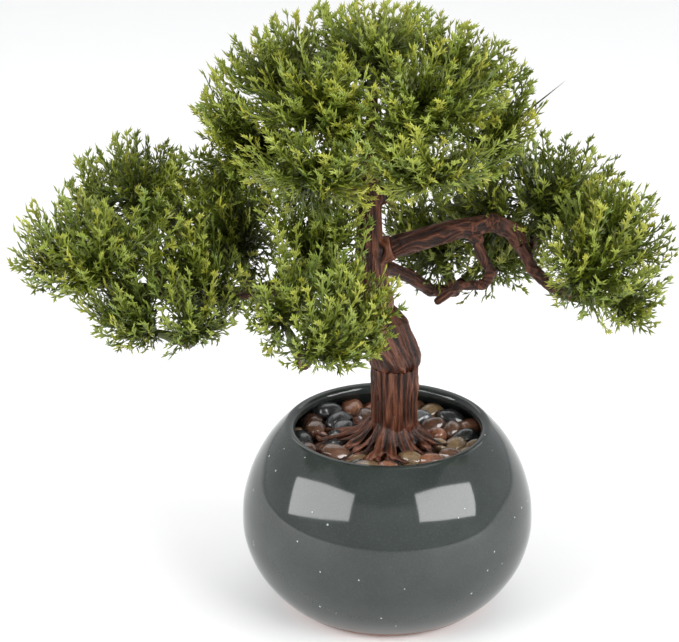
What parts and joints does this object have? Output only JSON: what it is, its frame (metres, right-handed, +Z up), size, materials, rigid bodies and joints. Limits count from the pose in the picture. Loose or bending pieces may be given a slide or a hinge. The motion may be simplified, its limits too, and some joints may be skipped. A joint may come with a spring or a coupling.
{
  "type": "artificial bonsai tree",
  "caption": "Artificial tabletop conifer trained as a bonsai in a round glazed pot, with leaf sprays that turn on pegs at the ends of plugged-in branches.",
  "frame": {"origin": "middle of the pot's flat base", "axes": "+Z up, +X to the tree's right seen from its front, -Y towards its front"},
  "size_m": [0.2609, 0.1438, 0.2554],
  "materials": {
    "glaze": "dark grey-green gloss glaze, bare terracotta at the foot",
    "foam": "dry rigid foam, unseen",
    "glue": "set glue, brown",
    "steel": "plain drawn wire, unseen",
    "bark": "moulded bark, red-brown, satin",
    "foliage": "soft moulded leaves, yellow-green tips and dark green stems",
    "black_pebbles": "varnished black river pebbles",
    "grey_pebbles": "varnished grey river pebbles",
    "brown_pebbles": "varnished brown river pebbles",
    "tan_pebbles": "varnished tan river pebbles",
    "rust_pebbles": "varnished rust-coloured river pebbles"
  },
  "bodies": {
    "pot_and_tree": {"anchor_stake": "steel", "black_pebbles": "black_pebbles", "brown_pebbles": "brown_pebbles", "crown_leader": "bark", "crown_left_fork": "bark", "crown_right_fork": "bark", "foam_block": "foam", "front_left_branch": "bark", "glue_bed": "glue", "grey_pebbles": "grey_pebbles", "left_branch": "bark", "left_lower_twig": "bark", "left_upper_twig": "bark", "pot": "glaze", "rear_branch": "bark", "right_branch": "bark", "right_inner_twig": "bark", "right_outer_twig": "bark", "right_rear_twig": "bark", "rust_pebbles": "rust_pebbles", "tan_pebbles": "tan_pebbles", "trunk_knee": "bark", "trunk_stump": "bark", "trunk_upper": "bark"},
    "spray_left_outer_1": {"spray_left_outer_1": "foliage"},
    "spray_left_outer_2": {"spray_left_outer_2": "foliage"},
    "spray_left_upper_1": {"spray_left_upper_1": "foliage"},
    "spray_left_upper_2": {"spray_left_upper_2": "foliage"},
    "spray_left_upper_3": {"spray_left_upper_3": "foliage"},
    "spray_left_lower_1": {"spray_left_lower_1": "foliage"},
    "spray_left_lower_2": {"spray_left_lower_2": "foliage"},
    "spray_left_lower_3": {"spray_left_lower_3": "foliage"},
    "spray_left_middle_1": {"spray_left_middle_1": "foliage"},
    "spray_left_middle_2": {"spray_left_middle_2": "foliage"},
    "spray_front_outer_1": {"spray_front_outer_1": "foliage"},
    "spray_front_outer_2": {"spray_front_outer_2": "foliage"},
    "spray_front_outer_3": {"spray_front_outer_3": "foliage"},
    "spray_front_inner": {"spray_front_inner": "foliage"},
    "spray_right_outer_1": {"spray_right_outer_1": "foliage"},
    "spray_right_outer_2": {"spray_right_outer_2": "foliage"},
    "spray_right_outer_3": {"spray_right_outer_3": "foliage"},
    "spray_right_rear_1": {"spray_right_rear_1": "foliage"},
    "spray_right_rear_2": {"spray_right_rear_2": "foliage"},
    "spray_right_rear_3": {"spray_right_rear_3": "foliage"},
    "spray_rear_1": {"spray_rear_1": "foliage"},
    "spray_rear_2": {"spray_rear_2": "foliage"},
    "spray_rear_3": {"spray_rear_3": "foliage"},
    "spray_crown_tip": {"spray_crown_tip": "foliage"},
    "spray_crown_upper_1": {"spray_crown_upper_1": "foliage"},
    "spray_crown_upper_2": {"spray_crown_upper_2": "foliage"},
    "spray_crown_upper_3": {"spray_crown_upper_3": "foliage"},
    "spray_crown_upper_4": {"spray_crown_upper_4": "foliage"},
    "spray_crown_upper_5": {"spray_crown_upper_5": "foliage"},
    "spray_crown_lower_1": {"spray_crown_lower_1": "foliage"},
    "spray_crown_lower_2": {"spray_crown_lower_2": "foliage"},
    "spray_crown_lower_3": {"spray_crown_lower_3": "foliage"},
    "spray_crown_lower_4": {"spray_crown_lower_4": "foliage"},
    "spray_crown_lower_5": {"spray_crown_lower_5": "foliage"},
    "spray_crown_lower_6": {"spray_crown_lower_6": "foliage"}
  },
  "joints": [
    {"name": "turn_left_outer_1", "type": "hinge", "parent": "pot_and_tree", "child": "spray_left_outer_1", "pos_m": [-0.11337, -0.00647, 0.14263], "axis": [-0.8954, -0.0783, 0.4384], "range_deg": [-45, 45]},
    {"name": "turn_left_outer_2", "type": "hinge", "parent": "pot_and_tree", "child": "spray_left_outer_2", "pos_m": [-0.10911, -0.01046, 0.14386], "axis": [-0.1853, -0.7433, 0.6428], "range_deg": [-45, 45]},
    {"name": "turn_left_upper_1", "type": "hinge", "parent": "pot_and_tree", "child": "spray_left_upper_1", "pos_m": [-0.09698, 0.01564, 0.15591], "axis": [-0.1632, -0.0594, 0.9848], "range_deg": [-45, 45]},
    {"name": "turn_left_upper_2", "type": "hinge", "parent": "pot_and_tree", "child": "spray_left_upper_2", "pos_m": [-0.096, 0.02139, 0.15263], "axis": [0, 0.8988, 0.4384], "range_deg": [-45, 45]},
    {"name": "turn_left_upper_3", "type": "hinge", "parent": "pot_and_tree", "child": "spray_left_upper_3", "pos_m": [-0.10115, 0.01787, 0.15244], "axis": [-0.8585, 0.3125, 0.4067], "range_deg": [-45, 45]},
    {"name": "turn_left_lower_1", "type": "hinge", "parent": "pot_and_tree", "child": "spray_left_lower_1", "pos_m": [-0.08434, -0.01304, 0.12082], "axis": [-0.7233, -0.5064, 0.4695], "range_deg": [-45, 45]},
    {"name": "turn_left_lower_2", "type": "hinge", "parent": "pot_and_tree", "child": "spray_left_lower_2", "pos_m": [-0.07795, -0.01, 0.12364], "axis": [0.342, 0, 0.9397], "range_deg": [-45, 45]},
    {"name": "turn_left_lower_3", "type": "hinge", "parent": "pot_and_tree", "child": "spray_left_lower_3", "pos_m": [-0.07892, -0.01508, 0.121], "axis": [0.1801, -0.8471, 0.5], "range_deg": [-45, 45]},
    {"name": "turn_left_middle_1", "type": "hinge", "parent": "pot_and_tree", "child": "spray_left_middle_1", "pos_m": [-0.05704, 0.014, 0.13591], "axis": [-0.1736, 0, 0.9848], "range_deg": [-45, 45]},
    {"name": "turn_left_middle_2", "type": "hinge", "parent": "pot_and_tree", "child": "spray_left_middle_2", "pos_m": [-0.05781, 0.01898, 0.13282], "axis": [-0.302, 0.8297, 0.4695], "range_deg": [-45, 45]},
    {"name": "turn_front_outer_1", "type": "hinge", "parent": "pot_and_tree", "child": "spray_front_outer_1", "pos_m": [-0.03617, -0.03458, 0.12456], "axis": [-0.3618, -0.097, 0.9272], "range_deg": [-45, 45]},
    {"name": "turn_front_outer_2", "type": "hinge", "parent": "pot_and_tree", "child": "spray_front_outer_2", "pos_m": [-0.02975, -0.03325, 0.12317], "axis": [0.7084, 0.1249, 0.6947], "range_deg": [-45, 45]},
    {"name": "turn_front_outer_3", "type": "hinge", "parent": "pot_and_tree", "child": "spray_front_outer_3", "pos_m": [-0.03266, -0.03867, 0.12253], "axis": [0.223, -0.7777, 0.5878], "range_deg": [-45, 45]},
    {"name": "turn_front_inner", "type": "hinge", "parent": "pot_and_tree", "child": "spray_front_inner", "pos_m": [-0.03292, -0.00462, 0.13187], "axis": [0.1801, -0.104, 0.9781], "range_deg": [-45, 45]},
    {"name": "turn_right_outer_1", "type": "hinge", "parent": "pot_and_tree", "child": "spray_right_outer_1", "pos_m": [0.07588, -0.00683, 0.13617], "axis": [0.9806, -0.1378, -0.1392], "range_deg": [-45, 45]},
    {"name": "turn_right_outer_2", "type": "hinge", "parent": "pot_and_tree", "child": "spray_right_outer_2", "pos_m": [0.07119, -0.01044, 0.14086], "axis": [0.1983, -0.7399, 0.6428], "range_deg": [-45, 45]},
    {"name": "turn_right_outer_3", "type": "hinge", "parent": "pot_and_tree", "child": "spray_right_outer_3", "pos_m": [0.0733, -0.00542, 0.14197], "axis": [0.5507, 0.0971, 0.829], "range_deg": [-45, 45]},
    {"name": "turn_right_rear_1", "type": "hinge", "parent": "pot_and_tree", "child": "spray_right_rear_1", "pos_m": [0.05911, 0.01907, 0.15282], "axis": [0.1853, -0.1555, 0.9703], "range_deg": [-45, 45]},
    {"name": "turn_right_rear_2", "type": "hinge", "parent": "pot_and_tree", "child": "spray_right_rear_2", "pos_m": [0.06127, 0.0239, 0.15018], "axis": [0.5451, 0.6496, 0.5299], "range_deg": [-45, 45]},
    {"name": "turn_right_rear_3", "type": "hinge", "parent": "pot_and_tree", "child": "spray_right_rear_3", "pos_m": [0.05389, 0.01928, 0.15132], "axis": [-0.6841, -0.1206, 0.7193], "range_deg": [-45, 45]},
    {"name": "turn_rear_1", "type": "hinge", "parent": "pot_and_tree", "child": "spray_rear_1", "pos_m": [0.03232, 0.04157, 0.12386], "axis": [0.7198, 0.262, 0.6428], "range_deg": [-45, 45]},
    {"name": "turn_rear_2", "type": "hinge", "parent": "pot_and_tree", "child": "spray_rear_2", "pos_m": [0.02622, 0.04488, 0.123], "axis": [-0.2962, 0.8138, 0.5], "range_deg": [-45, 45]},
    {"name": "turn_rear_3", "type": "hinge", "parent": "pot_and_tree", "child": "spray_rear_3", "pos_m": [0.02595, 0.04, 0.12564], "axis": [-0.342, 0, 0.9397], "range_deg": [-45, 45]},
    {"name": "turn_crown_tip", "type": "hinge", "parent": "pot_and_tree", "child": "spray_crown_tip", "pos_m": [-0.007, 0.003, 0.217], "axis": [0, 0, 1], "range_deg": [-45, 45]},
    {"name": "turn_crown_upper_1", "type": "hinge", "parent": "pot_and_tree", "child": "spray_crown_upper_1", "pos_m": [0.01284, 0.00945, 0.2066], "axis": [0.6113, 0.1986, 0.766], "range_deg": [-45, 45]},
    {"name": "turn_crown_upper_2", "type": "hinge", "parent": "pot_and_tree", "child": "spray_crown_upper_2", "pos_m": [-0.007, 0.02386, 0.2066], "axis": [0, 0.6428, 0.766], "range_deg": [-45, 45]},
    {"name": "turn_crown_upper_3", "type": "hinge", "parent": "pot_and_tree", "child": "spray_crown_upper_3", "pos_m": [-0.02684, 0.00945, 0.2066], "axis": [-0.6113, 0.1986, 0.766], "range_deg": [-45, 45]},
    {"name": "turn_crown_upper_4", "type": "hinge", "parent": "pot_and_tree", "child": "spray_crown_upper_4", "pos_m": [-0.01926, -0.01387, 0.2066], "axis": [-0.3778, -0.52, 0.766], "range_deg": [-45, 45]},
    {"name": "turn_crown_upper_5", "type": "hinge", "parent": "pot_and_tree", "child": "spray_crown_upper_5", "pos_m": [0.00526, -0.01387, 0.2066], "axis": [0.3778, -0.52, 0.766], "range_deg": [-45, 45]},
    {"name": "turn_crown_lower_1", "type": "hinge", "parent": "pot_and_tree", "child": "spray_crown_lower_1", "pos_m": [0.02456, 0.003, 0.19025], "axis": [0.9272, 0, 0.3746], "range_deg": [-45, 45]},
    {"name": "turn_crown_lower_2", "type": "hinge", "parent": "pot_and_tree", "child": "spray_crown_lower_2", "pos_m": [0.00878, 0.03033, 0.19025], "axis": [0.4636, 0.803, 0.3746], "range_deg": [-45, 45]},
    {"name": "turn_crown_lower_3", "type": "hinge", "parent": "pot_and_tree", "child": "spray_crown_lower_3", "pos_m": [-0.02278, 0.03033, 0.19025], "axis": [-0.4636, 0.803, 0.3746], "range_deg": [-45, 45]},
    {"name": "turn_crown_lower_4", "type": "hinge", "parent": "pot_and_tree", "child": "spray_crown_lower_4", "pos_m": [-0.03856, 0.003, 0.19025], "axis": [-0.9272, 0, 0.3746], "range_deg": [-45, 45]},
    {"name": "turn_crown_lower_5", "type": "hinge", "parent": "pot_and_tree", "child": "spray_crown_lower_5", "pos_m": [-0.02278, -0.02433, 0.19025], "axis": [-0.4636, -0.803, 0.3746], "range_deg": [-45, 45]},
    {"name": "turn_crown_lower_6", "type": "hinge", "parent": "pot_and_tree", "child": "spray_crown_lower_6", "pos_m": [0.00878, -0.02433, 0.19025], "axis": [0.4636, -0.803, 0.3746], "range_deg": [-45, 45]}
  ]
}
